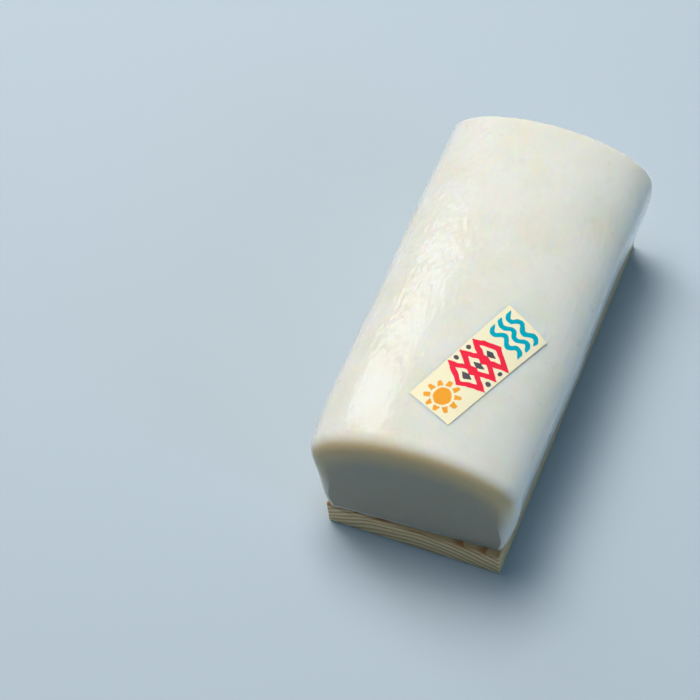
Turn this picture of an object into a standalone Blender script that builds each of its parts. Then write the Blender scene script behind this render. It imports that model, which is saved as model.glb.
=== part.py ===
"""Kamaboko fish cake: a long dome of steamed white fish paste on a softwood board, with a paper label.

Blender 4.5, metres, +Z up. The origin is the middle of the board's underside. The loaf lies along Y,
with its softly rounded end at -Y and its crisply cut end at +Y.
"""

import math

import bmesh
import bpy
import numpy as np

# Loaf: its length and the levels and widths of its cross-section
LOAF_LENGTH = 0.146
LOAF_WIDTH = 0.076
CREST_HEIGHT = 0.0615
WIDEST_HEIGHT = 0.0415
FOOT_WIDTH = 0.063

# Rounding where the top runs over into each end, which dies out towards the board
NEAR_EDGE = 0.0060
FAR_EDGE = 0.0012
FOOT_EDGE = 0.0004
FOOT_BLEND = 0.018

# The near end is cut a little askew, further out on its left, and the left side draws in towards it
NEAR_SLANT = 0.0027
TAPER = 0.0016
TAPER_REACH = 0.035

# Hand-shaped unevenness of the dome
SWELL = 0.0003
SWELL_PITCH = 0.085
SWELL_SLANT = 0.7
SWELL_START = 0.0088

# Board
BOARD_LENGTH = LOAF_LENGTH
BOARD_WIDTH = 0.064
BOARD_THICKNESS = 0.012
BOARD_EDGE = 0.0006

# Label: a paper slip laid aslant over the right shoulder, in distances along the curved top
LABEL_LENGTH = 0.0485
LABEL_WIDTH = 0.0183
LABEL_THICKNESS = 0.0003
LABEL_ACROSS = 0.0108
LABEL_ALONG = -0.0302
LABEL_SLANT = math.radians(66.2)
LABEL_LIFT = 0.0007

# Narrow gaps that keep neighbouring solids apart
FOOT_GAP = 0.0003
LABEL_GAP = 0.0004

# Fineness of the solids
CREASE_ANGLE = math.radians(40.0)
DOME_STEPS = 44
FLANK_STEPS = 8
BODY_STEPS = 12
EDGE_STEPS = 4
LABEL_LONG_STEPS = 16
LABEL_SHORT_STEPS = 8
ARC_SAMPLES = 721

HALF_WIDTH = LOAF_WIDTH / 2
DOME_RISE = CREST_HEIGHT - WIDEST_HEIGHT
FOOT_HEIGHT = BOARD_THICKNESS + FOOT_GAP
FACE_LEFT = NEAR_EDGE + TAPER - HALF_WIDTH
FACE_RIGHT = HALF_WIDTH - NEAR_EDGE


def clear_scene():
    """Removes every object of the scene that is open."""
    for item in list(bpy.data.objects):
        bpy.data.objects.remove(item, do_unlink=True)


def make_material(name, colour, roughness, metallic=0.0):
    """A Principled material of one colour, given as linear red, green and blue."""
    material = bpy.data.materials.new(name)
    material.use_nodes = True
    shader = material.node_tree.nodes["Principled BSDF"]
    shader.inputs["Base Color"].default_value = (*colour, 1.0)
    shader.inputs["Roughness"].default_value = roughness
    shader.inputs["Metallic"].default_value = metallic
    material.diffuse_color = (*colour, 1.0)
    return material


def add_object(name, bm, material):
    """Turns a bmesh into a named object with one material."""
    mesh = bpy.data.meshes.new(name)
    bm.to_mesh(mesh)
    bm.free()
    mesh.materials.append(material)
    item = bpy.data.objects.new(name, mesh)
    bpy.context.scene.collection.objects.link(item)
    return item


def smooth_step(value):
    """0 below 0, 1 above 1, and a smooth S between them."""
    value = min(max(value, 0.0), 1.0)
    return value * value * (3.0 - 2.0 * value)


def flank_half_width(height):
    """Half the loaf's width at a level under its widest: an ellipse that is cut off at the foot's width."""
    depth = (WIDEST_HEIGHT - FOOT_HEIGHT) / math.sqrt(1.0 - (FOOT_WIDTH / LOAF_WIDTH) ** 2)
    return HALF_WIDTH * math.sqrt(1.0 - ((WIDEST_HEIGHT - height) / depth) ** 2)


def section_outline():
    """The loaf's cross-section as (x, z) points, from the right foot over the crest to the left foot.

    The dome is half an ellipse, and each flank draws in under it to the foot.
    """
    right_flank = []
    for step in range(FLANK_STEPS):
        height = FOOT_HEIGHT + (WIDEST_HEIGHT - FOOT_HEIGHT) * step / FLANK_STEPS
        right_flank.append((flank_half_width(height), height))
    dome = []
    for step in range(DOME_STEPS + 1):
        angle = math.pi * step / DOME_STEPS
        dome.append((HALF_WIDTH * math.cos(angle), WIDEST_HEIGHT + DOME_RISE * math.sin(angle)))
    left_flank = [(-x, z) for x, z in reversed(right_flank)]
    return right_flank + dome + left_flank


def outline_normals(outline):
    """The outward direction at each point of the outline; at the two feet it is level."""
    normals = []
    for index, point in enumerate(outline):
        before = outline[max(index - 1, 0)]
        after = outline[min(index + 1, len(outline) - 1)]
        run_x, run_z = after[0] - before[0], after[1] - before[1]
        size = math.hypot(run_x, run_z)
        normals.append((run_z / size, -run_x / size))
    normals[0] = (1.0, 0.0)
    normals[-1] = (-1.0, 0.0)
    return normals


def end_radius(z, full):
    """Rounding of an end's edge at one level: full on the dome, and sharper towards the foot."""
    return FOOT_EDGE + (full - FOOT_EDGE) * smooth_step((z - FOOT_HEIGHT) / FOOT_BLEND)


def swell(x, y, z):
    """Shallow waves that run aslant over the dome and vanish at the foot."""
    wave = math.sin(2.0 * math.pi * (y + SWELL_SLANT * x + SWELL_START) / SWELL_PITCH)
    return SWELL * wave * smooth_step((z - FOOT_HEIGHT) / FOOT_BLEND)


def taper(x, y):
    """How far the left side draws in: it grows with the square of the nearness to the near end."""
    nearness = max(0.0, 1.0 - (y + LOAF_LENGTH / 2) / TAPER_REACH)
    return TAPER * nearness ** 2 * smooth_step(-x / HALF_WIDTH)


def askew(x, y):
    """Moves a point along Y so that the near end runs aslant. The far end stays square."""
    rightness = (x - FACE_LEFT) / (FACE_RIGHT - FACE_LEFT)
    return y + NEAR_SLANT * rightness * (0.5 - y / LOAF_LENGTH)


def section_stations():
    """Every section along the loaf: the near edge's turn, the share of the way, and the far edge's turn.

    A turn runs from 0 on the end's flat face to a right angle where its rounded edge meets the body.
    """
    right_angle = 0.5 * math.pi
    turns = [right_angle * step / EDGE_STEPS for step in range(EDGE_STEPS)]
    shares = [step / BODY_STEPS for step in range(BODY_STEPS + 1)]
    near_edge = [(turn, 0.0, right_angle) for turn in turns]
    body = [(right_angle, share, right_angle) for share in shares]
    far_edge = [(right_angle, 1.0, turn) for turn in reversed(turns)]
    return near_edge + body + far_edge


def loaf_point(point, normal, station):
    """Where one point of the outline lies in one section: drawn in and moved along Y by the rounded edges."""
    x, z = point
    near_turn, share, far_turn = station
    near = end_radius(z, NEAR_EDGE)
    far = end_radius(z, FAR_EDGE)
    start = -LOAF_LENGTH / 2 + near * (1.0 - math.cos(near_turn))
    end = LOAF_LENGTH / 2 - far * (1.0 - math.cos(far_turn))
    y = start + (end - start) * share
    inset = near * (1.0 - math.sin(near_turn)) + far * (1.0 - math.sin(far_turn)) + taper(x, y)
    shift = swell(x, y, z) - inset
    x += normal[0] * shift
    z += normal[1] * shift
    return x, askew(x, y), z


def add_loop(bm, points):
    """A closed loop of vertices and edges; returns both."""
    verts = [bm.verts.new(point) for point in points]
    edges = [bm.edges.new((vert, after)) for vert, after in zip(verts, verts[1:] + verts[:1])]
    return verts, edges


def make_fish_cake(material):
    """The loaf: loops of its section bridged into a skin along Y, with a flat cut face at each end."""
    outline = section_outline()
    normals = outline_normals(outline)
    bm = bmesh.new()
    loops = []
    for station in section_stations():
        loops.append(add_loop(bm, [loaf_point(p, n, station) for p, n in zip(outline, normals)]))
    for (_, edges), (_, edges_after) in zip(loops, loops[1:]):
        bmesh.ops.bridge_loops(bm, edges=edges + edges_after)
    bm.faces.new(loops[0][0])
    bm.faces.new(loops[-1][0])
    bmesh.ops.recalc_face_normals(bm, faces=bm.faces)
    item = add_object("fish_cake", bm, material)
    item.data.shade_smooth()
    item.data.set_sharp_from_angle(angle=CREASE_ANGLE)
    return item


def dome_point(distance):
    """Point and outward direction on the dome at a distance from the crest, measured over its curve."""
    angles = np.linspace(0.0, math.pi, ARC_SAMPLES)
    across = -HALF_WIDTH * np.cos(angles)
    up = WIDEST_HEIGHT + DOME_RISE * np.sin(angles)
    run = np.concatenate(([0.0], np.cumsum(np.hypot(np.diff(across), np.diff(up)))))
    run -= run[-1] / 2
    angle = np.interp(distance, run, angles)
    point = (-HALF_WIDTH * math.cos(angle), WIDEST_HEIGHT + DOME_RISE * math.sin(angle))
    normal = (-DOME_RISE * math.cos(angle), HALF_WIDTH * math.sin(angle))
    size = math.hypot(*normal)
    return point, (normal[0] / size, normal[1] / size)


def bend_over_dome(slab_point):
    """Carries a point of a flat slab of unit size to the label's place on the dome."""
    long_way = slab_point.x * LABEL_LENGTH
    left_way = slab_point.y * LABEL_WIDTH
    across = LABEL_ACROSS + long_way * math.cos(LABEL_SLANT) - left_way * math.sin(LABEL_SLANT)
    y = LABEL_ALONG + long_way * math.sin(LABEL_SLANT) + left_way * math.cos(LABEL_SLANT)
    (x, z), (normal_x, normal_z) = dome_point(across)
    lift = LABEL_GAP + swell(x, y, z) + LABEL_LIFT * smooth_step(0.5 - slab_point.y) ** 2
    lift += LABEL_THICKNESS * slab_point.z
    return x + normal_x * lift, y, z + normal_z * lift


def make_label(material):
    """The paper slip: a slab bent over the dome, its right-hand edge standing a little off the loaf."""
    bm = bmesh.new()
    bmesh.ops.create_grid(bm, x_segments=LABEL_LONG_STEPS, y_segments=LABEL_SHORT_STEPS, size=0.5)
    under_side = list(bm.faces)
    extruded = bmesh.ops.extrude_face_region(bm, geom=under_side, use_keep_orig=True)["geom"]
    top_verts = [item for item in extruded if isinstance(item, bmesh.types.BMVert)]
    bmesh.ops.translate(bm, vec=(0.0, 0.0, 1.0), verts=top_verts)
    bmesh.ops.recalc_face_normals(bm, faces=bm.faces)
    for vert in bm.verts:
        vert.co = bend_over_dome(vert.co)
    return add_object("label", bm, material)


def make_board(material):
    """The board: a flat block of softwood with its sawn edges just broken."""
    bm = bmesh.new()
    bmesh.ops.create_cube(bm, size=1.0)
    bmesh.ops.scale(bm, vec=(BOARD_WIDTH, BOARD_LENGTH, BOARD_THICKNESS), verts=bm.verts)
    item = add_object("board", bm, material)
    item.location.z = BOARD_THICKNESS / 2
    edge = item.modifiers.new("broken edge", "BEVEL")
    edge.width = BOARD_EDGE
    edge.segments = 2
    return item


def main():
    """Builds the three pieces and parents them to one empty at the origin."""
    clear_scene()
    paste = make_material("steamed fish paste", (0.80, 0.78, 0.68), 0.28)
    wood = make_material("softwood", (0.72, 0.52, 0.32), 0.65)
    paper = make_material("cream label paper", (0.96, 0.88, 0.64), 0.55)
    whole = bpy.data.objects.new("kamaboko", None)
    bpy.context.scene.collection.objects.link(whole)
    for item in (make_board(wood), make_fish_cake(paste), make_label(paper)):
        item.parent = whole


main()
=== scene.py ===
"""Looks of a kamaboko fish cake: a moist dome of steamed fish paste on a softwood board, with a paper slip.

Laid out as a Blender add-on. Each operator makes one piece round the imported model, in metres, in its frame.
"""

import math

import bpy
import numpy as np
from mathutils import Euler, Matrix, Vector


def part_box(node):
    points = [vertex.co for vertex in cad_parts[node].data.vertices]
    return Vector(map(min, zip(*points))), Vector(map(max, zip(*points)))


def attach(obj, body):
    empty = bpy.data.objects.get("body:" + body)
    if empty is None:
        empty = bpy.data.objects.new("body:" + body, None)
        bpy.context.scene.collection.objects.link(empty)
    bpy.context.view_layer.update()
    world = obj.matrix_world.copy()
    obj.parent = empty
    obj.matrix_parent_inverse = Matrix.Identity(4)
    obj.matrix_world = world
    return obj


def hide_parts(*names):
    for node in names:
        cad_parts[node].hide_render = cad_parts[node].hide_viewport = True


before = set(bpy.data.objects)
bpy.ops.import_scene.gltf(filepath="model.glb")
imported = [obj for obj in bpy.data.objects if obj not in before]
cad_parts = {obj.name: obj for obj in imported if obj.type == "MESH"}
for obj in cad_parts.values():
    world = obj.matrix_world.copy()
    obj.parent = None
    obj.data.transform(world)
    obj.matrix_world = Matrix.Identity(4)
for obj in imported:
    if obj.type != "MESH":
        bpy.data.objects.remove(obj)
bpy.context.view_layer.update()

bl_info = {
    "name": "Kamaboko fish cake",
    "version": (1, 0, 0),
    "blender": (4, 5, 0),
    "location": "View3D > Sidebar > Kamaboko",
    "description": "Makes a board-steamed fish cake, its softwood board, its paper slip and a pale studio",
    "category": "Object",
}

MM = 0.001

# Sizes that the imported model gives
LOAF_LOW, LOAF_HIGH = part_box("fish_cake")
BOARD_LOW, BOARD_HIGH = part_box("board")
LOAF_LENGTH = LOAF_HIGH.y - LOAF_LOW.y
FOOT_HEIGHT = LOAF_LOW.z
BOARD_TOP = BOARD_HIGH.z

# The loaf's cross-section: half an ellipse over flanks that draw in to the foot
SWELL = 0.3 * MM
HALF_WIDTH = (LOAF_HIGH.x - LOAF_LOW.x) / 2 - SWELL
CREST_HEIGHT = LOAF_HIGH.z - SWELL
WIDEST_HEIGHT = 41.5 * MM
HALF_FOOT = 31.5 * MM
DOME_RISE = CREST_HEIGHT - WIDEST_HEIGHT

# Rounded edges of the two ends, and how far above the foot they reach their full size
NEAR_EDGE = 6.0 * MM
FAR_EDGE = 1.2 * MM
FOOT_EDGE = 0.4 * MM
FOOT_BLEND = 18.0 * MM

# The near end is cut a little askew, further out on its left, and the left side draws in towards it
NEAR_SLANT = 2.7 * MM
TAPER = 1.6 * MM
TAPER_REACH = 35.0 * MM
FACE_LEFT = NEAR_EDGE + TAPER - HALF_WIDTH
FACE_RIGHT = HALF_WIDTH - NEAR_EDGE

# The foot reaches down to just above the board, over its lowest part
FOOT_GAP = 0.04 * MM
FOOT_REACH = 3.0 * MM

# Hand-shaped waves that run aslant over the dome, and the widths of its rounded bumps
SWELL_PITCH = 85.0 * MM
SWELL_SLANT = 0.7
SWELL_START = 8.8 * MM
BROAD_BUMP = 24.0 * MM
SMALL_BUMP = 9.0 * MM

# Widths of the skin's lumps and of the patches that they lie in, and where they are at their full height
BROAD_LUMP = 3.2 * MM
SMALL_LUMP = 1.8 * MM
LUMP_PATCH = 12.0 * MM
LUMP_REACH = 45.0 * MM
LUMP_FOOT = 4.0 * MM

# Nicks at the edge of the far end
NICK_DEPTH = 0.12 * MM
NICK_WIDTH = 1.3 * MM
BROAD_NICK = 4.0 * MM
NICK_REACH = 2.5 * MM

# Shallow hollows in the cut faces
HOLLOW_DEPTH = 0.08 * MM
BROAD_HOLLOW = 13.0 * MM
SMALL_HOLLOW = 5.0 * MM
HOLLOW_REACH = 14.0 * MM

# Extra depth for the painted shade of the cut faces' lower part, which has no border of the skin's colour
LOW_SHADE_DEPTH = 8.0 * MM
LOW_BORDER = 1.5 * MM
LOW_START = WIDEST_HEIGHT + 4.0 * MM
LOW_BLEND = 22.0 * MM

# The slip: its size, its place in distances along the curved top, its distance from it, the border round it
# where the skin's lumps come in, and how much darker its paper is between fibres
SLIP_LENGTH = 48.5 * MM
SLIP_WIDTH = 18.3 * MM
SLIP_ACROSS = 10.8 * MM
SLIP_ALONG = -30.2 * MM
SLIP_SLANT = math.radians(66.2)
SLIP_GAP = 0.06 * MM
SLIP_BORDER = 2.0 * MM
FIBRE_SHADE = 0.95

# The slip's print, in millimetres from its middle: waves at its far end, lozenges with cores and dots, and a
# sun at its near end. The hand cut is the widths of its noise and how far each pushes the shapes.
WAVE_MIDDLES = (21.0, 17.1, 13.2)
WAVE_PITCH = 6.6
WAVE_RISE = 1.05
WAVE_HALF_STROKE = 1.1
WAVE_STROKE_SWELL = 0.2
WAVE_REACH = 7.4
LOZENGE_MIDDLES = (5.6, -0.3, -6.2)
LOZENGE_HALVES = (3.8, 6.9)
LOZENGE_HALF_STROKE = 0.95
CORE_HALVES = (1.3, 2.4)
DOT_RADIUS = 0.9
DOT_SIDE = 7.3
SUN_MIDDLE = -17.5
SUN_RADIUS = 3.3
RAY_COUNT = 10
RAY_MIDDLE = 5.3
RAY_HALF_LENGTH = 1.1
RAY_HALF_WIDTH = 0.89
RAY_NARROWING = 0.2
HAND_CUT = ((2.6, 0.28), (0.9, 0.1))

# The board: its tree's pith lies under it and right of its middle, turned a little from its length
PITH_RIGHT = 9.0 * MM
PITH_DEPTH = 62.0 * MM
GRAIN_TURN = math.radians(1.2)
GRAIN_SWAY = 6.0 * MM
BOARD_WEAR = 0.05 * MM
WEAR_WIDTH = 5.0 * MM
SAW_MARK = 0.03 * MM
SAW_MARK_WIDTH = 1.5 * MM

# Camera: the point it looks at, its direction from there, its roll, distance and lens
AIM = (-39.0 * MM, -27.3 * MM, 40.0 * MM)
AZIMUTH = math.radians(28.885)
ELEVATION = math.radians(57.0)
ROLL = math.radians(-8.251)
DISTANCE = 0.8562
LENS = 126.45

# Lights, in degrees, metres and watts. Only the window shows in the wet skin.
LIGHTS = (
    {"name": "window", "azimuth": -121.2, "elevation": 35.0, "turn": 21.0, "distance": 1.31,
     "width": 0.26, "height": 0.69, "power": 2.1, "colour": "F3F9FF", "shows": True},
    {"name": "overhead", "azimuth": -135.0, "elevation": 70.0, "turn": 0.0, "distance": 1.4,
     "width": 0.8, "height": 0.8, "power": 20.8, "colour": "FFFCF3", "shows": False},
    {"name": "fill", "azimuth": 75.0, "elevation": 24.0, "turn": 0.0, "distance": 1.2,
     "width": 0.5, "height": 0.4, "power": 2.2, "colour": "8CC8F2", "shows": False},
)
LIGHTS_AIM = Vector((0.0, 0.0, 40.0 * MM))
ROOM_STRENGTH = 0.18
FLOOR_REACH = 5.0

# Fineness of the surfaces
LATTICE = 48
ARC_SAMPLES = 1441
FLANK_SAMPLES = 200
OUTLINE_SPACING = 0.62 * MM
LEFT_FINER = 0.22 * MM
LEFT_BLEND = 16.0 * MM
FLANK_COARSER = 0.4 * MM
FLANK_BLEND = 6.0 * MM
BODY_SPACING = 0.5 * MM
EDGE_STEPS = 14
CAP_STEPS = 22
BASE_STEPS = 17
SLIP_POINTS = (196, 76)
BOARD_STEPS = 96
BOARD_CAP_STEPS = 8
CORNER_POINTS = 7


def linear(hex_code):
    """An sRGB hex colour as linear red, green and blue."""
    channels = [int(hex_code[start:start + 2], 16) / 255 for start in (0, 2, 4)]
    return tuple(c / 12.92 if c <= 0.04045 else ((c + 0.055) / 1.055) ** 2.4 for c in channels)


def colour_property(name, description, hex_code):
    """A colour that the sidebar shows as a swatch."""
    return bpy.props.FloatVectorProperty(
        name=name, description=description, default=linear(hex_code), subtype="COLOR", size=3,
        min=0.0, max=1.0)


def length_property(name, description, default):
    """A size in metres that the sidebar shows with its unit."""
    return bpy.props.FloatProperty(
        name=name, description=description, subtype="DISTANCE", unit="LENGTH", precision=5, default=default)


class LoafSettings(bpy.types.PropertyGroup):
    """Sizes and colours of the steamed fish paste."""
    pale: colour_property("Paste", "Main colour of the steamed paste", "E3E1DB")
    warm: colour_property("Warm patches", "Faint warm patches in the paste", "E1DBCD")
    cool: colour_property("Cool patches", "Faint grey-green patches in the paste", "DCDED4")
    fleck: colour_property("Flecks", "Small yellow-brown flecks", "CFBF9B")
    # Painted glow: this tan stands in for light that comes through the edge of a cut face
    edge: colour_property("Cut edge", "Tan band where light comes through the edge of a cut face", "D2BA8B")
    # Painted shade: this grey, darker than the paste, stands in for shade on the cut faces
    face: colour_property("Cut face", "Bare gel inside a cut face", "A39E8F")
    unevenness: length_property("Unevenness", "Height of the hand-shaped bumps", 0.16 * MM)
    lumps: length_property("Lumps", "Height of the small lumps of the skin", 0.03 * MM)
    wrinkle: length_property("Wrinkles", "Depth of the fine wrinkles of the skin", 0.34 * MM)
    glow: length_property("Light depth", "How far light travels inside the paste", 4.0 * MM)


class SlipSettings(bpy.types.PropertyGroup):
    """Sizes and colours of the paper slip."""
    paper: colour_property("Paper", "Cream paper of the slip", "FFECCF")
    orange: colour_property("Orange ink", "Ink of the sun", "FFAA3A")
    crimson: colour_property("Crimson ink", "Ink of the lozenges", "F5304F")
    teal: colour_property("Teal ink", "Ink of the waves", "00AEC4")
    grey: colour_property("Grey ink", "Ink of the dots and the lozenges' cores", "5E5962")
    thickness: length_property("Thickness", "Thickness of the paper", 0.15 * MM)
    lift: length_property("Lift", "How far the right-hand edge stands off the loaf", 0.4 * MM)


class BoardSettings(bpy.types.PropertyGroup):
    """Sizes and colours of the softwood board."""
    early: colour_property("Early wood", "Pale wood between the rings", "E9D3A9")
    late: colour_property("Late wood", "Darker line of each ring", "C7955A")
    damp: colour_property("Damp wood", "Wood that the paste has wetted", "B98E5C")
    ring: length_property("Ring spacing", "Distance between growth rings", 2.3 * MM)
    edge: length_property("Broken edge", "Rounding of the sawn edges", 0.6 * MM)


class StageSettings(bpy.types.PropertyGroup):
    """Colours of the floor and of the light from all round."""
    floor: colour_property("Floor", "Plain pale floor", "B9C5D1")
    sky: colour_property("Room light", "Colour of the light from all round", "B9DAEE")


def smooth_step(value):
    """0 below 0, 1 above 1, and a smooth S between them."""
    value = np.clip(value, 0.0, 1.0)
    return value * value * (3.0 - 2.0 * value)


def at_least(low, share):
    """A share from 0 to 1, squeezed into the range from low to 1."""
    return low + (1.0 - low) * share


def lattice_noise(points, cell, seed):
    """Smooth noise from -1 to 1: random values at the corners of cubes of one cell, blended by S-curves."""
    table = np.random.default_rng(seed).uniform(-1.0, 1.0, (LATTICE,) * 3)
    scaled = points / cell
    corner = np.floor(scaled).astype(int)
    blend = smooth_step(scaled - corner)
    total = np.zeros(points.shape[:-1])
    for side in np.ndindex(2, 2, 2):
        share = np.prod(np.where(side, blend, 1.0 - blend), axis=-1)
        i, j, k = np.moveaxis((corner + side) % LATTICE, -1, 0)
        total += share * table[i, j, k]
    return total


def resample(outline, spacing):
    """Points along an outline, as far apart as the spacing says at each place. Both ends stay."""
    steps = np.hypot(*np.diff(outline, axis=0).T)
    run = np.concatenate(([0.0], np.cumsum(2.0 * steps / (spacing[1:] + spacing[:-1]))))
    stops = np.linspace(0.0, run[-1], int(round(run[-1])) + 1)
    return np.stack([np.interp(stops, run, column) for column in outline.T], axis=-1)


def outline_normals(outline):
    """Outward directions of an outline that runs anticlockwise: its tangent turned right by a right angle."""
    run_x, run_z = np.gradient(outline, axis=0).T
    size = np.hypot(run_x, run_z)
    return np.stack([run_z / size, -run_x / size], axis=-1)


def rounded_rings(outline, normals, low, high, low_radius, high_radius, body):
    """Rings of an outline that is carried along Y from low to high, with both ends drawn in.

    They are drawn in by a quarter circle, whose radius may differ from point to point of the outline.
    """
    turn = np.linspace(0.0, math.pi / 2, EDGE_STEPS, endpoint=False)
    near_turn = np.concatenate((turn, np.full(body + 1 + EDGE_STEPS, math.pi / 2)))[:, None]
    far_turn = near_turn[::-1]
    along_body = np.linspace(0.0, 1.0, body + 1)
    share = np.concatenate((np.zeros(EDGE_STEPS), along_body, np.ones(EDGE_STEPS)))[:, None]
    start = low + low_radius * (1.0 - np.cos(near_turn))
    end = high - high_radius * (1.0 - np.cos(far_turn))
    along = start + (end - start) * share
    inset = low_radius * (1.0 - np.sin(near_turn)) + high_radius * (1.0 - np.sin(far_turn))
    x = outline[:, 0] - normals[:, 0] * inset
    z = outline[:, 1] - normals[:, 1] * inset
    return np.stack(np.broadcast_arrays(x, along, z), axis=-1)


def cap_rings(rim, centre, count):
    """Rings that shrink from a rim towards a centre, closest near the rim, which itself is left out."""
    shares = 1.0 - np.linspace(0.0, 1.0, count + 1)[1:-1, None, None] ** 1.5
    return centre + (rim - centre) * shares


def skin_mesh(name, rings, low_centre, high_centre):
    """A closed mesh: each ring is joined to the next, and either end closes on its own centre point."""
    count, around, _ = rings.shape
    index = np.arange(count * around).reshape(count, around)
    after = np.roll(index, -1, axis=1)
    quads = np.stack([index[:-1], index[1:], after[1:], after[:-1]], axis=-1).reshape(-1, 4)
    low, high = count * around, count * around + 1
    low_fan = np.stack([np.full(around, low), index[0], after[0]], axis=-1)
    high_fan = np.stack([np.full(around, high), after[-1], index[-1]], axis=-1)
    mesh = bpy.data.meshes.new(name)
    points = np.concatenate((rings.reshape(-1, 3), [low_centre, high_centre]))
    mesh.from_pydata(points.tolist(), [], quads.tolist() + low_fan.tolist() + high_fan.tolist())
    mesh.update()
    mesh.shade_smooth()
    return mesh


def grid_mesh(name, points, uv):
    """An open sheet from a grid of points, with a UV map."""
    rows, columns, _ = points.shape
    index = np.arange(rows * columns).reshape(rows, columns)
    quads = np.stack([index[:-1, :-1], index[:-1, 1:], index[1:, 1:], index[1:, :-1]], axis=-1).reshape(-1, 4)
    mesh = bpy.data.meshes.new(name)
    mesh.from_pydata(points.reshape(-1, 3).tolist(), [], quads.tolist())
    layer = mesh.uv_layers.new(name="UVMap")
    layer.data.foreach_set("uv", uv.reshape(-1, 2)[quads.ravel()].ravel())
    mesh.update()
    mesh.shade_smooth()
    return mesh


def add_attribute(mesh, name, values):
    """Stores one number for each point of the mesh."""
    attribute = mesh.attributes.new(name, "FLOAT", "POINT")
    attribute.data.foreach_set("value", np.asarray(values, np.float32).ravel())


def add_piece(mesh, material, node):
    """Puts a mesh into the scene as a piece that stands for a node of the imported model."""
    mesh.materials.append(material)
    piece = bpy.data.objects.new(mesh.name, mesh)
    bpy.context.scene.collection.objects.link(piece)
    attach(piece, "root")
    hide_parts(node)
    return piece


def add_node(tree, kind, inputs=None, **settings):
    """Adds a node with its settings. Each input gets a value, or a link from another node's output."""
    node = tree.nodes.new(kind)
    for name, value in settings.items():
        setattr(node, name, value)
    for key, value in (inputs or {}).items():
        if isinstance(value, bpy.types.NodeSocket):
            tree.links.new(value, node.inputs[key])
        else:
            node.inputs[key].default_value = value
    return node


def new_material(name):
    """A material with its node tree and its Principled shader."""
    material = bpy.data.materials.new(name)
    material.use_nodes = True
    return material, material.node_tree, material.node_tree.nodes["Principled BSDF"]


def dome_arc():
    """The dome from left to right: the ellipse's angle, X, and the distance from the crest over its curve."""
    angles = np.linspace(0.0, math.pi, ARC_SAMPLES)
    across = -HALF_WIDTH * np.cos(angles)
    up = DOME_RISE * np.sin(angles)
    run = np.concatenate(([0.0], np.cumsum(np.hypot(np.diff(across), np.diff(up)))))
    return angles, across, run - run[-1] / 2


def flank_half_width(height):
    """Half the loaf's width under its widest level: an ellipse that is cut off at the foot's width."""
    depth = (WIDEST_HEIGHT - FOOT_HEIGHT) / math.sqrt(1.0 - (HALF_FOOT / HALF_WIDTH) ** 2)
    return HALF_WIDTH * np.sqrt(1.0 - ((WIDEST_HEIGHT - height) / depth) ** 2)


def loaf_outline():
    """The cross-section from the right foot over the crest to the left foot, finest on the left shoulder."""
    height = np.linspace(FOOT_HEIGHT, WIDEST_HEIGHT, FLANK_SAMPLES)
    right_flank = np.stack([flank_half_width(height), height], axis=-1)
    angle = np.linspace(0.0, math.pi, ARC_SAMPLES)
    dome = np.stack([HALF_WIDTH * np.cos(angle), WIDEST_HEIGHT + DOME_RISE * np.sin(angle)], axis=-1)
    left_flank = right_flank[::-1] * (-1.0, 1.0)
    outline = np.concatenate((right_flank[:-1], dome, left_flank[1:]))
    leftness = smooth_step(0.5 - outline[:, 0] / LEFT_BLEND)
    lowness = smooth_step((WIDEST_HEIGHT - outline[:, 1]) / FLANK_BLEND)
    return resample(outline, OUTLINE_SPACING - LEFT_FINER * leftness + FLANK_COARSER * lowness)


def above_foot(z, reach):
    """0 at the foot of the loaf, 1 from a reach above it."""
    return smooth_step((z - FOOT_HEIGHT) / reach)


def taper(points, x):
    """How far the left side draws in: it grows with the square of the nearness to the near end."""
    nearness = np.maximum(0.0, 1.0 - (points[..., 1] - LOAF_LOW.y) / TAPER_REACH)
    return TAPER * nearness ** 2 * smooth_step(-x / HALF_WIDTH)


def askew(points):
    """Moves points along Y so that the near end runs aslant. The far end stays square."""
    rightness = (points[..., 0] - FACE_LEFT) / (FACE_RIGHT - FACE_LEFT)
    farness = (points[..., 1] - LOAF_LOW.y) / LOAF_LENGTH
    points[..., 1] += NEAR_SLANT * rightness * (1.0 - farness)


def broad_relief(points, unevenness):
    """Slow waves of the hand-shaped dome: the solid's own swell, an aslant sine, and rounded bumps."""
    x, y, z = np.moveaxis(points, -1, 0)
    swell = SWELL * np.sin(2.0 * math.pi * (y + SWELL_SLANT * x + SWELL_START) / SWELL_PITCH)
    bumps = lattice_noise(points, BROAD_BUMP, 3) + 0.35 * lattice_noise(points, SMALL_BUMP, 4)
    return (swell + unevenness * bumps) * above_foot(z, FOOT_BLEND)


def fine_relief(points, height):
    """Small slanting lumps of the skin, in patches: low at the near end, and full from the middle onwards.

    The slant comes from noise that is read at sheared and squeezed places.
    """
    x, y, z = np.moveaxis(points, -1, 0)
    slanting = np.stack([x + 0.5 * y, 0.55 * (y - 0.5 * x), z], axis=-1)
    lumps = lattice_noise(slanting, BROAD_LUMP, 14) + 0.5 * lattice_noise(slanting, SMALL_LUMP, 15)
    patches = smooth_step(0.55 + 0.9 * lattice_noise(points, LUMP_PATCH, 16))
    farness = smooth_step((y + LUMP_REACH) / LUMP_REACH)
    return height * lumps * at_least(0.3, farness) * at_least(0.35, patches) * above_foot(z, LUMP_FOOT)


def far_nicks(points):
    """Small nicks that fade out with the distance from the far end."""
    nearness = 1.0 - smooth_step((LOAF_HIGH.y - points[..., 1]) / NICK_REACH)
    nicks = lattice_noise(points, NICK_WIDTH, 21) + 0.6 * lattice_noise(points, BROAD_NICK, 22)
    return NICK_DEPTH * nicks * nearness


def slip_to_dome(long_way, left_way):
    """Turns places on the slip into distances over the dome from its crest and places along the loaf."""
    distance = SLIP_ACROSS + long_way * math.cos(SLIP_SLANT) - left_way * math.sin(SLIP_SLANT)
    along = SLIP_ALONG + long_way * math.sin(SLIP_SLANT) + left_way * math.cos(SLIP_SLANT)
    return distance, along


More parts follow.
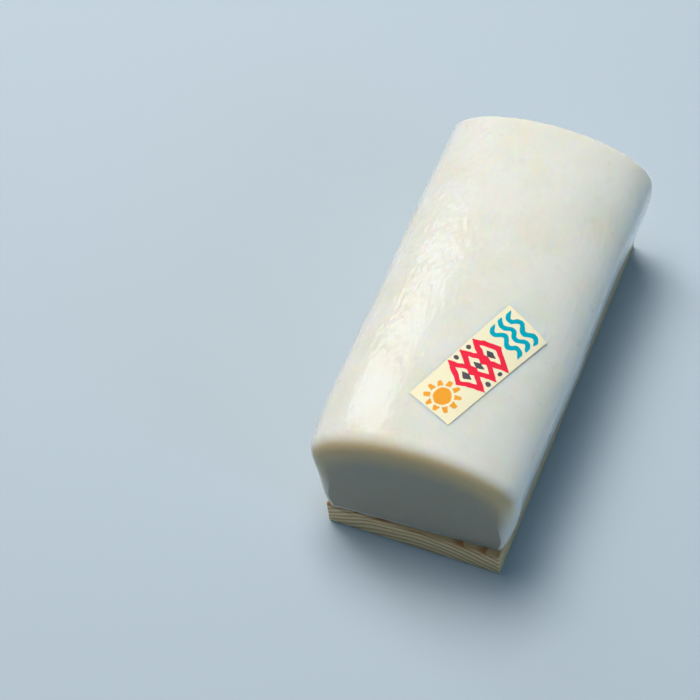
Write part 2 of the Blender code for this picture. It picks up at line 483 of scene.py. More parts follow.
def dome_to_slip(distance, along):
    """Turns distances over the dome from its crest and places along the loaf into places on the slip."""
    right = distance - SLIP_ACROSS
    far = along - SLIP_ALONG
    long_way = right * math.cos(SLIP_SLANT) + far * math.sin(SLIP_SLANT)
    left_way = far * math.cos(SLIP_SLANT) - right * math.sin(SLIP_SLANT)
    return long_way, left_way


def under_slip(points):
    """1 under the slip and 0 from its border onwards, measured over the dome."""
    _, across, run = dome_arc()
    long_way, left_way = dome_to_slip(np.interp(points[..., 0], across, run), points[..., 1])
    outside = np.maximum(np.abs(long_way) - SLIP_LENGTH / 2, np.abs(left_way) - SLIP_WIDTH / 2)
    on_dome = points[..., 2] > WIDEST_HEIGHT
    return (1.0 - smooth_step(outside / SLIP_BORDER)) * on_dome


def loaf_rings(settings):
    """The loaf's rings, closed under the foot, and how deep under the uncut dome each of their points lies.

    The outline is carried along with rounded ends and then moved along its normals: out by the relief, and in
    by the taper.
    """
    outline = loaf_outline()
    normals = outline_normals(outline)
    normals[0], normals[-1] = (1.0, 0.0), (-1.0, 0.0)
    full = above_foot(outline[:, 1], FOOT_BLEND)
    near = FOOT_EDGE + (NEAR_EDGE - FOOT_EDGE) * full
    far = FOOT_EDGE + (FAR_EDGE - FOOT_EDGE) * full
    body = int((LOAF_LENGTH - NEAR_EDGE - FAR_EDGE) / BODY_SPACING)
    rings = rounded_rings(outline, normals, LOAF_LOW.y, LOAF_HIGH.y, near, far, body)
    depth = np.hypot(*np.moveaxis(rings[..., ::2] - outline, -1, 0))

    shift = broad_relief(rings, settings.unevenness) - taper(rings, outline[:, 0])
    shift += fine_relief(rings, settings.lumps) * (1.0 - under_slip(rings))
    shift += far_nicks(rings) * full
    rings[..., 0] += normals[:, 0] * shift
    rings[..., 2] += normals[:, 1] * shift
    rings[..., 2] -= (FOOT_HEIGHT - BOARD_TOP - FOOT_GAP) * (1.0 - above_foot(rings[..., 2], FOOT_REACH))

    shares = np.linspace(0.0, 1.0, BASE_STEPS + 1)[1:-1, None]
    base = rings[:, -1:] + (rings[:, :1] - rings[:, -1:]) * shares
    base_depth = np.zeros(base.shape[:2])
    return np.concatenate((rings, base), axis=1), np.concatenate((depth, base_depth), axis=1)


def cut_face(rim, rim_depth, level):
    """The rings and the centre of one cut face, its shallow hollows, and the depth of its points.

    A point's depth is its rim point's depth and the distance between them. The extra depth of the lower part,
    which makes it greyer as painted shade, comes in over a narrow border.
    """
    centre = np.array((0.0, level, 0.6 * CREST_HEIGHT))
    face = cap_rings(rim, centre, CAP_STEPS)
    distance = np.linalg.norm(face - rim, axis=-1)
    # The lower part gets extra depth, so that the face colour draws it greyer there as painted shade
    lowness = smooth_step((LOW_START - face[..., 2]) / LOW_BLEND)
    depth = rim_depth + distance + LOW_SHADE_DEPTH * lowness * smooth_step(distance / LOW_BORDER)
    hollows = lattice_noise(face, BROAD_HOLLOW, 31) + 0.3 * lattice_noise(face, SMALL_HOLLOW, 32)
    inward = math.copysign(HOLLOW_DEPTH, level) * smooth_step(distance / HOLLOW_REACH)
    face[..., 1] -= inward * (1.3 + hollows)
    centre[1] = face[-1, :, 1].mean()
    return face, centre, depth


def loaf_surface(settings):
    """The loaf's rings from one face's centre to the other's, both centres, and every point's depth."""
    rings, depth = loaf_rings(settings)
    near_face, near_centre, near_depth = cut_face(rings[0], depth[0], LOAF_LOW.y)
    far_face, far_centre, far_depth = cut_face(rings[-1], depth[-1], LOAF_HIGH.y)
    rings = np.concatenate((near_face[::-1], rings, far_face))
    depth = np.concatenate((near_depth[::-1], depth, far_depth))
    for points in (rings, near_centre, far_centre):
        askew(points)
    return rings, near_centre, far_centre, depth


def gel_colour(tree, settings, place):
    """The gel's colour: mottling with patches 16 mm and 11 mm across, and flecks up to 4 mm across."""
    warm_noise = add_node(tree, "ShaderNodeTexNoise", {
        "Vector": place, "Scale": 1 / (16.0 * MM), "Detail": 3.0})
    warm_share = add_node(tree, "ShaderNodeMapRange", {
        "Value": warm_noise.outputs["Fac"], "From Min": 0.45, "From Max": 0.72, "To Max": 0.9})
    warmed = add_node(tree, "ShaderNodeMix", {
        0: warm_share.outputs["Result"], 6: (*settings.pale, 1.0), 7: (*settings.warm, 1.0)},
        data_type="RGBA")

    cool_place = add_node(tree, "ShaderNodeMapping", {"Vector": place, "Location": (0.3, 0.1, 0.2)})
    cool_noise = add_node(tree, "ShaderNodeTexNoise", {
        "Vector": cool_place.outputs["Vector"], "Scale": 1 / (11.0 * MM), "Detail": 3.0})
    cool_share = add_node(tree, "ShaderNodeMapRange", {
        "Value": cool_noise.outputs["Fac"], "From Min": 0.5, "From Max": 0.75, "To Max": 0.8})
    mottled = add_node(tree, "ShaderNodeMix", {
        0: cool_share.outputs["Result"], 6: warmed.outputs[2], 7: (*settings.cool, 1.0)},
        data_type="RGBA")

    fleck_noise = add_node(tree, "ShaderNodeTexNoise", {
        "Vector": place, "Scale": 1 / (4.0 * MM), "Detail": 2.0, "Distortion": 0.4})
    fleck_share = add_node(tree, "ShaderNodeMapRange", {
        "Value": fleck_noise.outputs["Fac"], "From Min": 0.68, "From Max": 0.84, "To Max": 0.2})
    flecked = add_node(tree, "ShaderNodeMix", {
        0: fleck_share.outputs["Result"], 6: mottled.outputs[2], 7: (*settings.fleck, 1.0)},
        data_type="RGBA")
    return flecked.outputs[2]


def cut_colour_with_painted_light(tree, settings, gel, depth, position):
    """The gel's colour with the painted light and shade of the cut faces, by the depth in millimetres under
    the uncut dome.

    A tan band of painted glow, which stands in for light that comes through the edge, starts within 2.4 mm
    and fades out by 16 mm, only under the lit dome. Further in, the face turns greyer by 8 mm, as painted
    shade.
    Both are strongest at the near end.
    """
    # Painted glow: a tan band near the rim of each cut face, only at the height of the lit dome
    painted_glow_start = add_node(tree, "ShaderNodeMapRange", {
        "Value": depth, "From Min": 0.0, "From Max": 2.4}, interpolation_type="SMOOTHSTEP")
    painted_glow_end = add_node(tree, "ShaderNodeMapRange", {
        "Value": depth, "From Min": 16.0, "From Max": 2.0, "To Max": 0.9}, interpolation_type="SMOOTHSTEP")
    lit = add_node(tree, "ShaderNodeMapRange", {
        "Value": position.outputs["Z"], "From Min": WIDEST_HEIGHT - 14.0 * MM,
        "From Max": WIDEST_HEIGHT + 4.0 * MM})
    # Painted light and shade are strongest at the near end: 0.3 of them from the middle to the far end, all
    # of them 40 mm towards the near end
    painted_light_nearness = add_node(tree, "ShaderNodeMapRange", {
        "Value": position.outputs["Y"], "From Min": 0.0, "From Max": -40.0 * MM, "To Min": 0.3})
    painted_glow_band = add_node(tree, "ShaderNodeMath", {
        0: painted_glow_start.outputs["Result"], 1: painted_glow_end.outputs["Result"]}, operation="MULTIPLY")
    painted_glow_under_dome = add_node(tree, "ShaderNodeMath", {
        0: painted_glow_band.outputs["Value"], 1: lit.outputs["Result"]}, operation="MULTIPLY")
    painted_glow_share = add_node(tree, "ShaderNodeMath", {
        0: painted_glow_under_dome.outputs["Value"], 1: painted_light_nearness.outputs["Result"]}, operation="MULTIPLY")

    # Painted shade: the cut face turns greyer from 1 to 8 mm deep
    painted_shade_depth = add_node(tree, "ShaderNodeMapRange", {
        "Value": depth, "From Min": 1.0, "From Max": 8.0}, interpolation_type="SMOOTHSTEP")
    painted_shade_share = add_node(tree, "ShaderNodeMath", {
        0: painted_shade_depth.outputs["Result"], 1: painted_light_nearness.outputs["Result"]}, operation="MULTIPLY")
    face_with_painted_shade = add_node(tree, "ShaderNodeMix", {
        0: painted_shade_share.outputs["Value"], 6: gel, 7: (*settings.face, 1.0)}, data_type="RGBA")
    with_painted_glow = add_node(tree, "ShaderNodeMix", {
        0: painted_glow_share.outputs["Value"], 6: face_with_painted_shade.outputs[2], 7: (*settings.edge, 1.0)},
        data_type="RGBA")
    return with_painted_glow.outputs[2]


def pimple_normal(tree, place, skin):
    """Normals of low pimples, which sit in the middle of about a third of the cells of a 2.6 mm pattern."""
    cells = add_node(tree, "ShaderNodeTexVoronoi", {"Vector": place, "Scale": 1 / (2.6 * MM)}, feature="F1")
    height = add_node(tree, "ShaderNodeMapRange", {
        "Value": cells.outputs["Distance"], "From Min": 0.08, "From Max": 0.26, "To Min": 1.0, "To Max": 0.0},
        interpolation_type="SMOOTHSTEP")
    draw = add_node(tree, "ShaderNodeSeparateColor", {"Color": cells.outputs["Color"]})
    chosen = add_node(tree, "ShaderNodeMath", {0: draw.outputs["Red"], 1: 0.7}, operation="GREATER_THAN")
    pimple = add_node(tree, "ShaderNodeMath", {
        0: height.outputs["Result"], 1: chosen.outputs["Value"]}, operation="MULTIPLY")
    bump = add_node(tree, "ShaderNodeBump", {
        "Height": pimple.outputs["Value"], "Strength": skin, "Distance": 0.05 * MM})
    return bump.outputs["Normal"]


def wrinkle_normal(tree, settings, place, position, skin, normal):
    """Normals of the skin's wrinkles, 1.9 mm wide and slanting.

    They are shallower in patches 14 mm across, towards the near end, and over the crest and the right side.
    """
    slanting = add_node(tree, "ShaderNodeMapping", {
        "Vector": place, "Rotation": (0.0, 0.0, math.radians(-25.0)), "Scale": (1.0, 0.55, 1.0)})
    wrinkles = add_node(tree, "ShaderNodeTexNoise", {
        "Vector": slanting.outputs["Vector"], "Scale": 1 / (1.9 * MM), "Detail": 0.0, "Distortion": 0.3})
    patches = add_node(tree, "ShaderNodeTexNoise", {
        "Vector": place, "Scale": 1 / (14.0 * MM), "Detail": 1.0})
    patch_share = add_node(tree, "ShaderNodeMapRange", {
        "Value": patches.outputs["Fac"], "From Min": 0.35, "From Max": 0.6, "To Min": 0.45, "To Max": 1.0})
    farness = add_node(tree, "ShaderNodeMapRange", {
        "Value": position.outputs["Y"], "From Min": -50.0 * MM, "From Max": 0.0, "To Min": 0.4})
    leftness = add_node(tree, "ShaderNodeMapRange", {
        "Value": position.outputs["X"], "From Min": 6.0 * MM, "From Max": -14.0 * MM, "To Min": 0.5})
    patchy = add_node(tree, "ShaderNodeMath", {
        0: patch_share.outputs["Result"], 1: farness.outputs["Result"]}, operation="MULTIPLY")
    leftward = add_node(tree, "ShaderNodeMath", {
        0: patchy.outputs["Value"], 1: leftness.outputs["Result"]}, operation="MULTIPLY")
    strength = add_node(tree, "ShaderNodeMath", {
        0: leftward.outputs["Value"], 1: skin}, operation="MULTIPLY")
    bump = add_node(tree, "ShaderNodeBump", {
        "Height": wrinkles.outputs["Fac"], "Strength": strength.outputs["Value"],
        "Distance": settings.wrinkle, "Normal": normal})
    return bump.outputs["Normal"]


def paste_material(settings):
    """Steamed surimi, trowelled by hand: a dense white gel that light sinks into, under a wet, wrinkled skin.

    The gel gives a soft glow at edges, faint mottling and flecks. The cut faces are bare gel, drawn greyer
    than the skin as painted shade, with a tan band of painted glow where light comes through their edge. The
    skin gives a wet sheen, which wrinkles break up.
    """
    material, tree, shader = new_material("steamed fish paste")
    place = add_node(tree, "ShaderNodeTexCoord").outputs["Object"]
    position = add_node(tree, "ShaderNodeSeparateXYZ", {"Vector": place})
    metres = add_node(tree, "ShaderNodeAttribute", attribute_name="depth").outputs["Fac"]
    depth = add_node(tree, "ShaderNodeMath", {0: metres, 1: 1 / MM}, operation="MULTIPLY").outputs["Value"]
    gel = gel_colour(tree, settings, place)
    colour = cut_colour_with_painted_light(tree, settings, gel, depth, position)

    # The skin, with its pimples and wrinkles, ends at the cut faces. A finer grain lies under its wet film.
    skin = add_node(tree, "ShaderNodeMapRange", {
        "Value": depth, "From Min": 2.0, "From Max": 0.5}).outputs["Result"]
    pimpled = pimple_normal(tree, place, skin)
    wrinkled = wrinkle_normal(tree, settings, place, position, skin, pimpled)
    grain = add_node(tree, "ShaderNodeTexNoise", {
        "Vector": place, "Scale": 1 / (1.1 * MM), "Detail": 2.0, "Distortion": 0.6})
    grained = add_node(tree, "ShaderNodeBump", {
        "Height": grain.outputs["Fac"], "Strength": 1.0, "Distance": 0.05 * MM, "Normal": wrinkled})

    # The sheen varies in patches 7 mm across. The film thins out over the cut faces, which are duller.
    sheen = add_node(tree, "ShaderNodeTexNoise", {"Vector": place, "Scale": 1 / (7.0 * MM), "Detail": 4.0})
    roughness = add_node(tree, "ShaderNodeMapRange", {
        "Value": sheen.outputs["Fac"], "From Min": 0.3, "From Max": 0.7, "To Min": 0.26, "To Max": 0.42})
    bare = add_node(tree, "ShaderNodeMapRange", {
        "Value": depth, "From Min": 1.0, "From Max": 5.0, "To Max": 0.3})
    dulled = add_node(tree, "ShaderNodeMath", {
        0: roughness.outputs["Result"], 1: bare.outputs["Result"]}, operation="ADD")
    film = add_node(tree, "ShaderNodeMapRange", {
        "Value": depth, "From Min": 5.0, "From Max": 0.5, "To Min": 0.05}, interpolation_type="SMOOTHSTEP")

    tree.links.new(colour, shader.inputs["Base Color"])
    tree.links.new(dulled.outputs["Value"], shader.inputs["Roughness"])
    tree.links.new(film.outputs["Result"], shader.inputs["Coat Weight"])
    tree.links.new(grained.outputs["Normal"], shader.inputs["Normal"])
    tree.links.new(wrinkled, shader.inputs["Coat Normal"])
    shader.inputs["IOR"].default_value = 1.38
    shader.inputs["Subsurface Weight"].default_value = 1.0
    shader.inputs["Subsurface Radius"].default_value = (1.0, 0.6, 0.25)
    shader.inputs["Subsurface Scale"].default_value = settings.glow
    shader.inputs["Coat Roughness"].default_value = 0.05
    shader.inputs["Coat IOR"].default_value = 1.33
    return material


class KAMABOKO_OT_loaf(bpy.types.Operator):
    """Makes the loaf of fish paste with its uneven, wrinkled skin and its two cut ends"""
    bl_idname = "kamaboko.make_loaf"
    bl_label = "Make loaf"

    def execute(self, context):
        settings = context.scene.kamaboko_loaf
        rings, near_centre, far_centre, depth = loaf_surface(settings)
        mesh = skin_mesh("loaf", rings, near_centre, far_centre)
        mesh.set_sharp_from_angle(angle=math.radians(45.0))
        add_attribute(mesh, "depth", np.concatenate((depth.ravel(), (depth.max(), depth.max()))))
        add_piece(mesh, paste_material(settings), "fish_cake")
        return {"FINISHED"}


def slip_surface(settings, unevenness):
    """The slip as a grid: a rectangle bent over the dome along its curve, its right-hand edge lifted.

    The lift grows with the square of an S-curve towards that edge, and from half to full towards the far end.
    """
    long_steps, left_steps = (np.linspace(-0.5, 0.5, count) for count in SLIP_POINTS)
    long_way, left_way = np.meshgrid(long_steps * SLIP_LENGTH, left_steps * SLIP_WIDTH, indexing="ij")
    distance, y = slip_to_dome(long_way, left_way)
    angles, _, run = dome_arc()
    angle = np.interp(distance, run, angles)
    x = -HALF_WIDTH * np.cos(angle)
    z = WIDEST_HEIGHT + DOME_RISE * np.sin(angle)
    normal_x = -DOME_RISE * np.cos(angle)
    normal_z = HALF_WIDTH * np.sin(angle)
    size = np.hypot(normal_x, normal_z)
    rightward = smooth_step(0.5 - left_way / SLIP_WIDTH) ** 2
    farward = at_least(0.5, 0.5 + long_way / SLIP_LENGTH)
    lift = broad_relief(np.stack([x, y, z], axis=-1), unevenness) + SLIP_GAP
    lift += settings.lift * rightward * farward
    points = np.stack([x + normal_x / size * lift, y, z + normal_z / size * lift], axis=-1)
    return points, long_way / MM, left_way / MM


def lozenge(long_way, left_way, half_long, half_left):
    """Distance from a lozenge's edge: the taxi-cab rule with its two half widths, less than 0 inside."""
    slope = half_long * half_left / math.hypot(half_long, half_left)
    return (np.abs(long_way) / half_long + np.abs(left_way) / half_left - 1.0) * slope


def wave_print(long_way, left_way):
    """Distance from the waves: how far each sine crest is along the slip, less a stroke that swells."""
    turn = 2.0 * math.pi * left_way / WAVE_PITCH
    waves = []
    for middle in WAVE_MIDDLES:
        crest = middle + WAVE_RISE * np.sin(turn)
        stroke = WAVE_HALF_STROKE + WAVE_STROKE_SWELL * np.cos(2.0 * turn)
        waves.append(np.maximum(np.abs(long_way - crest) - stroke, np.abs(left_way) - WAVE_REACH))
    return np.minimum.reduce(waves)


def chain_print(long_way, left_way):
    """Distances from a chain of lozenge outlines, and from their solid cores with the dots between them."""
    outlines = []
    solids = []
    for middle in LOZENGE_MIDDLES:
        edge = lozenge(long_way - middle, left_way, *LOZENGE_HALVES)
        outlines.append(np.abs(edge) - LOZENGE_HALF_STROKE)
        solids.append(lozenge(long_way - middle, left_way, *CORE_HALVES))
    for first, second in zip(LOZENGE_MIDDLES[:-1], LOZENGE_MIDDLES[1:]):
        for side in (-DOT_SIDE, DOT_SIDE):
            solids.append(np.hypot(long_way - (first + second) / 2, left_way - side) - DOT_RADIUS)
    return np.minimum.reduce(outlines), np.minimum.reduce(solids)


def sun_print(long_way, left_way):
    """Distance from the sun: a disc, and rays that are pieces of a ring and narrow a little further out."""
    radius = np.hypot(long_way - SUN_MIDDLE, left_way)
    turn = np.arctan2(left_way, long_way - SUN_MIDDLE) / (2.0 * math.pi)
    from_ray = np.abs((turn * RAY_COUNT) % 1.0 - 0.5) * radius * 2.0 * math.pi / RAY_COUNT
    beside = from_ray - RAY_HALF_WIDTH + RAY_NARROWING * (radius - RAY_MIDDLE)
    rays = np.maximum(beside, np.abs(radius - RAY_MIDDLE) - RAY_HALF_LENGTH)
    return np.minimum(radius - SUN_RADIUS, rays)


def ink_distances(long_way, left_way):
    """For each ink, the distance in millimetres from the edge of its shapes, less than 0 inside them.

    The millimetres are first pushed about a little, by noise of two widths, as if the shapes were cut by
    hand.
    """
    flat = np.stack([long_way, left_way, np.zeros_like(long_way)], axis=-1)
    for seed, (width, push) in zip((41, 43), HAND_CUT):
        long_way = long_way + push * lattice_noise(flat, width, seed)
        left_way = left_way + push * lattice_noise(flat, width, seed + 1)
    crimson, grey = chain_print(long_way, left_way)
    return {
        "teal": wave_print(long_way, left_way),
        "crimson": crimson,
        "orange": sun_print(long_way, left_way),
        "grey": grey,
    }


def slip_material(settings):
    """Uncoated label paper, printed in four flat inks: matt, with faint fibres and a little inner light."""
    material, tree, shader = new_material("printed label paper")
    sheet = add_node(tree, "ShaderNodeTexCoord").outputs["UV"]

    # Paper fibres, 0.35 mm wide and 1 mm long. The UV map is in metres.
    fibre_place = add_node(tree, "ShaderNodeMapping", {"Vector": sheet, "Scale": (0.35, 1.0, 1.0)})
    fibres = add_node(tree, "ShaderNodeTexNoise", {
        "Vector": fibre_place.outputs["Vector"], "Scale": 1 / (0.35 * MM), "Detail": 4.0, "Distortion": 0.8})
    fibre_share = add_node(tree, "ShaderNodeMapRange", {
        "Value": fibres.outputs["Fac"], "From Min": 0.3, "From Max": 0.7, "To Min": 0.0, "To Max": 0.5})
    shaded = tuple(channel * FIBRE_SHADE for channel in settings.paper)
    colour = add_node(tree, "ShaderNodeMix", {
        0: fibre_share.outputs["Result"], 6: (*settings.paper, 1.0), 7: (*shaded, 1.0)},
        data_type="RGBA").outputs[2]

    # Each ink covers the paper where its distance is under nought
    for ink in ("orange", "crimson", "teal", "grey"):
        distance = add_node(tree, "ShaderNodeAttribute", attribute_name=ink)
        inked = add_node(tree, "ShaderNodeMapRange", {
            "Value": distance.outputs["Fac"], "From Min": 0.06, "From Max": -0.06})
        colour = add_node(tree, "ShaderNodeMix", {
            0: inked.outputs["Result"], 6: colour, 7: (*getattr(settings, ink), 1.0)},
            data_type="RGBA").outputs[2]

    bump = add_node(tree, "ShaderNodeBump", {
        "Height": fibres.outputs["Fac"], "Strength": 0.6, "Distance": 0.02 * MM})
    tree.links.new(colour, shader.inputs["Base Color"])
    tree.links.new(bump.outputs["Normal"], shader.inputs["Normal"])
    shader.inputs["Roughness"].default_value = 0.6
    shader.inputs["Specular IOR Level"].default_value = 0.25
    shader.inputs["Subsurface Weight"].default_value = 1.0
    shader.inputs["Subsurface Radius"].default_value = (1.0, 0.9, 0.7)
    shader.inputs["Subsurface Scale"].default_value = 0.12 * MM
    return material


class KAMABOKO_OT_slip(bpy.types.Operator):
    """Makes the printed paper slip that lies aslant on the loaf"""
    bl_idname = "kamaboko.make_slip"
    bl_label = "Make slip"

    def execute(self, context):
        settings = context.scene.kamaboko_slip
        points, long_way, left_way = slip_surface(settings, context.scene.kamaboko_loaf.unevenness)
        mesh = grid_mesh("label_slip", points, np.stack([long_way, left_way], axis=-1) * MM)
        for ink, distance in ink_distances(long_way, left_way).items():
            add_attribute(mesh, ink, distance)
        piece = add_piece(mesh, slip_material(settings), "label")
        paper = piece.modifiers.new("paper thickness", "SOLIDIFY")
        paper.thickness = settings.thickness
        paper.offset = 1.0
        return {"FINISHED"}


def board_outline(edge):
    """The board's cross-section, anticlockwise from the middle of its right side, with rounded corners.

    Each corner is a quarter circle, and the straight runs between them are filled at 1 mm.
    """
    half_width = (BOARD_HIGH.x - BOARD_LOW.x) / 2
    half_height = (BOARD_HIGH.z - BOARD_LOW.z) / 2
    middle = (BOARD_HIGH.z + BOARD_LOW.z) / 2
    turn = np.linspace(0.0, math.pi / 2, CORNER_POINTS)
    corners = []
    for quarter, (side_x, side_z) in enumerate(((1, 1), (-1, 1), (-1, -1), (1, -1))):
        angle = turn + quarter * math.pi / 2
        x = side_x * (half_width - edge) + edge * np.cos(angle)
        z = middle + side_z * (half_height - edge) + edge * np.sin(angle)
        corners.append(np.stack([x, z], axis=-1))
    corners = np.concatenate(corners)
    corners = np.concatenate((corners, corners[:1]))
    steps = np.hypot(*np.diff(corners, axis=0).T)
    points = []
    for start, end, step in zip(corners[:-1], corners[1:], steps):
        count = max(1, int(round(step / MM)))
        shares = np.linspace(0.0, 1.0, count, endpoint=False)[:, None]
        points.append(start + (end - start) * shares)
    outline = np.concatenate(points)
    wrapped = np.concatenate((outline[-1:], outline, outline[:1]))
    return outline, outline_normals(wrapped)[1:-1]


def sawn_end(rim, level):
    """The rings and the centre of one end of the board, a little hollow and with fine saw marks."""
    centre = np.array((0.0, level, BOARD_TOP / 2))
    cap = cap_rings(rim, centre, BOARD_CAP_STEPS)
    sawn = lattice_noise(cap, SAW_MARK_WIDTH, 52) * SAW_MARK
    cap[..., 1] -= math.copysign(1.0, level) * (BOARD_WEAR + sawn)
    centre[1] -= math.copysign(BOARD_WEAR, level)
    return cap, centre


def board_surface(settings):
    """The board's rings: a rounded rectangle carried along Y, its sides and top worn a little unevenly."""
    outline, normals = board_outline(settings.edge)
    low, high = BOARD_LOW.y, BOARD_HIGH.y
    rings = rounded_rings(outline, normals, low, high, settings.edge, settings.edge, BOARD_STEPS)
    worn = BOARD_WEAR * (lattice_noise(rings * (1.0, 0.25, 1.0), WEAR_WIDTH, 51) - 1.0)
    rings[..., 0] += normals[:, 0] * worn
    rings[..., 2] += normals[:, 1] * worn * (rings[..., 2] > BOARD_TOP / 2)
    near_cap, near_centre = sawn_end(rings[0], low)
    far_cap, far_centre = sawn_end(rings[-1], high)
    return np.concatenate((near_cap[::-1], rings, far_cap)), near_centre, far_centre


def ring_share(tree, settings, place):
    """How much late wood there is: it grows across each ring round the pith, and drops at the ring's end."""
    pith = add_node(tree, "ShaderNodeMapping", {
        "Vector": place, "Location": (-PITH_RIGHT, 0.0, PITH_DEPTH), "Rotation": (0.0, 0.0, GRAIN_TURN)})
    sway = add_node(tree, "ShaderNodeTexNoise", {"Vector": place, "Scale": 1 / (30.0 * MM), "Detail": 2.0})
    sway_shift = add_node(tree, "ShaderNodeVectorMath", {
        0: sway.outputs["Color"], 1: (GRAIN_SWAY, 0.0, GRAIN_SWAY)}, operation="MULTIPLY")
    swayed = add_node(tree, "ShaderNodeVectorMath", {
        0: pith.outputs["Vector"], 1: sway_shift.outputs["Vector"]}, operation="ADD")
    level = add_node(tree, "ShaderNodeVectorMath", {
        0: swayed.outputs["Vector"], 1: (1.0, 0.0, 1.0)}, operation="MULTIPLY")
    radius = add_node(tree, "ShaderNodeVectorMath", {0: level.outputs["Vector"]}, operation="LENGTH")
    rings = add_node(tree, "ShaderNodeMath", {
        0: radius.outputs["Value"], 1: 1 / settings.ring}, operation="MULTIPLY")
    across = add_node(tree, "ShaderNodeMath", {0: rings.outputs["Value"]}, operation="FRACT")
    late = add_node(tree, "ShaderNodeMapRange", {
        "Value": across.outputs["Value"], "From Min": 0.35, "From Max": 0.93},
        interpolation_type="SMOOTHSTEP")
    return late.outputs["Result"]


def damp_share(tree, place):
    """How damp the wood is: full at the top, and fading out 1.5 to 5 mm under it."""
    height = add_node(tree, "ShaderNodeSeparateXYZ", {"Vector": place})
    creep = add_node(tree, "ShaderNodeTexNoise", {"Vector": place, "Scale": 1 / (6.0 * MM), "Detail": 3.0})
    creep_level = add_node(tree, "ShaderNodeMapRange", {
        "Value": creep.outputs["Fac"], "From Min": 0.3, "From Max": 0.7,
        "To Min": BOARD_TOP - 5.0 * MM, "To Max": BOARD_TOP - 1.5 * MM})
    damp = add_node(tree, "ShaderNodeMapRange", {
        "Value": height.outputs["Z"], "From Min": creep_level.outputs["Result"], "From Max": BOARD_TOP,
        "To Max": 0.55}, interpolation_type="SMOOTHSTEP")
    return damp.outputs["Result"]


def board_material(settings):
    """Planed softwood, such as fir: pale early wood between darker late-wood lines, matt and dry.

    One set of rings round a pith under the board gives arches on the ends and straight grain along the sides.
    Moisture of the paste darkens the wood near the top.
    """
    material, tree, shader = new_material("planed softwood")
    place = add_node(tree, "ShaderNodeTexCoord").outputs["Object"]

    # Fibres, 0.5 mm wide and 14 mm long, lighten and darken the rings
    fibre_place = add_node(tree, "ShaderNodeMapping", {"Vector": place, "Scale": (1.0, 0.035, 1.0)})
    fibres = add_node(tree, "ShaderNodeTexNoise", {
        "Vector": fibre_place.outputs["Vector"], "Scale": 1 / (0.5 * MM), "Detail": 3.0})
    fibre_share = add_node(tree, "ShaderNodeMapRange", {
        "Value": fibres.outputs["Fac"], "From Min": 0.35, "From Max": 0.7, "To Min": -0.12, "To Max": 0.16})
    late_share = add_node(tree, "ShaderNodeMath", {
        0: ring_share(tree, settings, place), 1: fibre_share.outputs["Result"]},
        operation="ADD", use_clamp=True)
    wood = add_node(tree, "ShaderNodeMix", {
        0: late_share.outputs["Value"], 6: (*settings.early, 1.0), 7: (*settings.late, 1.0)},
        data_type="RGBA")
    damp = add_node(tree, "ShaderNodeMix", {
        0: damp_share(tree, place), 6: wood.outputs[2], 7: (*settings.damp, 1.0)},
        data_type="RGBA", blend_type="MULTIPLY")

    bump = add_node(tree, "ShaderNodeBump", {
        "Height": late_share.outputs["Value"], "Strength": 0.8, "Distance": 0.08 * MM})
    tree.links.new(damp.outputs[2], shader.inputs["Base Color"])
    tree.links.new(bump.outputs["Normal"], shader.inputs["Normal"])
    shader.inputs["Roughness"].default_value = 0.62
    shader.inputs["IOR"].default_value = 1.5
    return material


class KAMABOKO_OT_board(bpy.types.Operator):
    """Makes the softwood board under the loaf"""
    bl_idname = "kamaboko.make_board"
    bl_label = "Make board"

    def execute(self, context):
        settings = context.scene.kamaboko_board
        mesh = skin_mesh("board_plank", *board_surface(settings))
        add_piece(mesh, board_material(settings), "board")
        return {"FINISHED"}


def towards(azimuth, elevation):
    """A direction from its turn to the right of the near end and its angle above the floor."""
    level = math.cos(elevation)
    return Vector((math.sin(azimuth) * level, -math.cos(azimuth) * level, math.sin(elevation)))


def facing(direction, roll):
    """The rotation of a light or camera that stands in a direction from its aim, looks back and is rolled."""
    turn = direction.to_track_quat("Z", "Y").to_matrix() @ Euler((0.0, 0.0, roll)).to_matrix()
    return turn.to_euler()


def add_softbox(name, azimuth, elevation, turn, distance, width, height, power, colour, shows):
    """A rectangular area light that faces the loaf, turned about the line between them."""
    light = bpy.data.lights.new(name, "AREA")
    light.shape = "RECTANGLE"
    light.size, light.size_y = width, height
    light.energy = power
    light.color = linear(colour)
    lamp = bpy.data.objects.new(name, light)
    direction = towards(math.radians(azimuth), math.radians(elevation))
    lamp.location = LIGHTS_AIM + direction * distance
    lamp.rotation_euler = facing(direction, math.radians(turn))
    lamp.visible_glossy = shows
    bpy.context.scene.collection.objects.link(lamp)


def floor_material(settings):
    """Seamless studio paper: pale and matt, with a very fine tooth."""
    material, tree, shader = new_material("pale studio paper")
    place = add_node(tree, "ShaderNodeTexCoord").outputs["Object"]
    tooth = add_node(tree, "ShaderNodeTexNoise", {"Vector": place, "Scale": 1 / (1.5 * MM), "Detail": 2.0})
    bump = add_node(tree, "ShaderNodeBump", {
        "Height": tooth.outputs["Fac"], "Strength": 0.2, "Distance": 0.05 * MM})
    tree.links.new(bump.outputs["Normal"], shader.inputs["Normal"])
    shader.inputs["Base Color"].default_value = (*settings.floor, 1.0)
    shader.inputs["Roughness"].default_value = 0.9
    return material


def add_floor(settings):
    """The floor: a flat square of four faces."""
    reach = np.linspace(-FLOOR_REACH, FLOOR_REACH, 3)
    x, y = np.meshgrid(reach, reach, indexing="xy")
    points = np.stack([x, y, np.zeros_like(x)], axis=-1)
    mesh = grid_mesh("floor", points, points[..., :2])
    mesh.materials.append(floor_material(settings))
    floor = bpy.data.objects.new("floor", mesh)
    bpy.context.scene.collection.objects.link(floor)


def add_room_light(settings):
    """A world of one soft colour."""
    world = bpy.data.worlds.new("soft room light")
    world.use_nodes = True
    background = world.node_tree.nodes["Background"]
    background.inputs["Color"].default_value = (*settings.sky, 1.0)
    background.inputs["Strength"].default_value = ROOM_STRENGTH
    bpy.context.scene.world = world


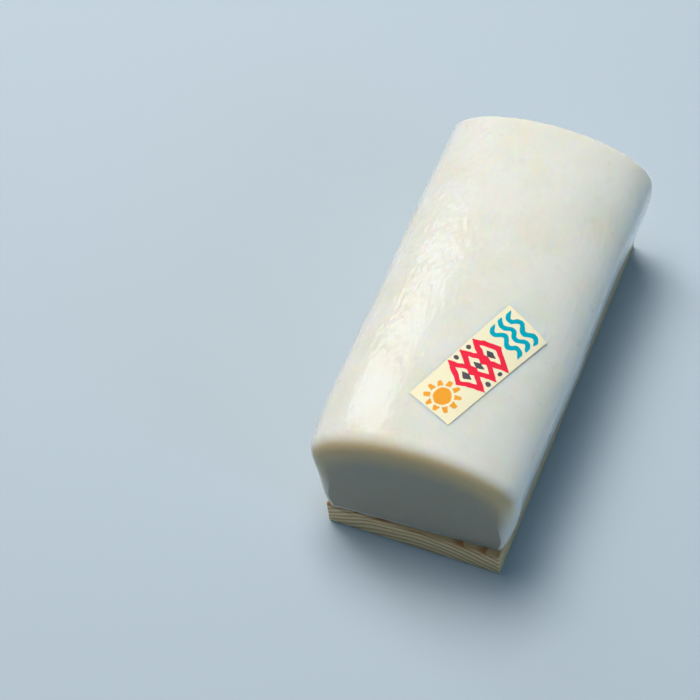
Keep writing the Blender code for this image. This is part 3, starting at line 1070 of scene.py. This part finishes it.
def add_camera():
    """The camera, at the angle of the photograph."""
    lens = bpy.data.cameras.new("camera")
    lens.lens = LENS
    camera = bpy.data.objects.new("camera", lens)
    direction = towards(AZIMUTH, ELEVATION)
    camera.location = Vector(AIM) + direction * DISTANCE
    camera.rotation_euler = facing(direction, ROLL)
    bpy.context.scene.collection.objects.link(camera)
    bpy.context.scene.camera = camera


class KAMABOKO_OT_stage(bpy.types.Operator):
    """Makes the pale floor, the studio lights and the camera"""
    bl_idname = "kamaboko.make_stage"
    bl_label = "Make stage"

    def execute(self, context):
        settings = context.scene.kamaboko_stage
        add_floor(settings)
        add_room_light(settings)
        for light in LIGHTS:
            add_softbox(**light)
        context.scene.view_settings.view_transform = "Standard"
        add_camera()
        return {"FINISHED"}


class KAMABOKO_PT_panel(bpy.types.Panel):
    """Sidebar panel that lists the pieces with their sizes and colours"""
    bl_idname = "KAMABOKO_PT_panel"
    bl_label = "Kamaboko"
    bl_space_type = "VIEW_3D"
    bl_region_type = "UI"
    bl_category = "Kamaboko"

    def draw(self, context):
        for name, _, operator in PIECES:
            box = self.layout.box()
            settings = getattr(context.scene, name)
            for setting in settings.__annotations__:
                box.prop(settings, setting)
            box.operator(operator.bl_idname)


# Each piece: the scene's property that holds its settings, their group, and the operator that makes it
PIECES = (
    ("kamaboko_board", BoardSettings, KAMABOKO_OT_board),
    ("kamaboko_loaf", LoafSettings, KAMABOKO_OT_loaf),
    ("kamaboko_slip", SlipSettings, KAMABOKO_OT_slip),
    ("kamaboko_stage", StageSettings, KAMABOKO_OT_stage),
)


def register():
    """Registers the settings, the operators and the panel."""
    for name, group, operator in PIECES:
        bpy.utils.register_class(group)
        setattr(bpy.types.Scene, name, bpy.props.PointerProperty(type=group))
        bpy.utils.register_class(operator)
    bpy.utils.register_class(KAMABOKO_PT_panel)


def unregister():
    """Takes the panel, the operators and the settings out again."""
    bpy.utils.unregister_class(KAMABOKO_PT_panel)
    for name, group, operator in reversed(PIECES):
        bpy.utils.unregister_class(operator)
        delattr(bpy.types.Scene, name)
        bpy.utils.unregister_class(group)


def main():
    """Makes every piece and the stage."""
    register()
    bpy.ops.kamaboko.make_board()
    bpy.ops.kamaboko.make_loaf()
    bpy.ops.kamaboko.make_slip()
    bpy.ops.kamaboko.make_stage()


if __name__ == "__main__":
    main()
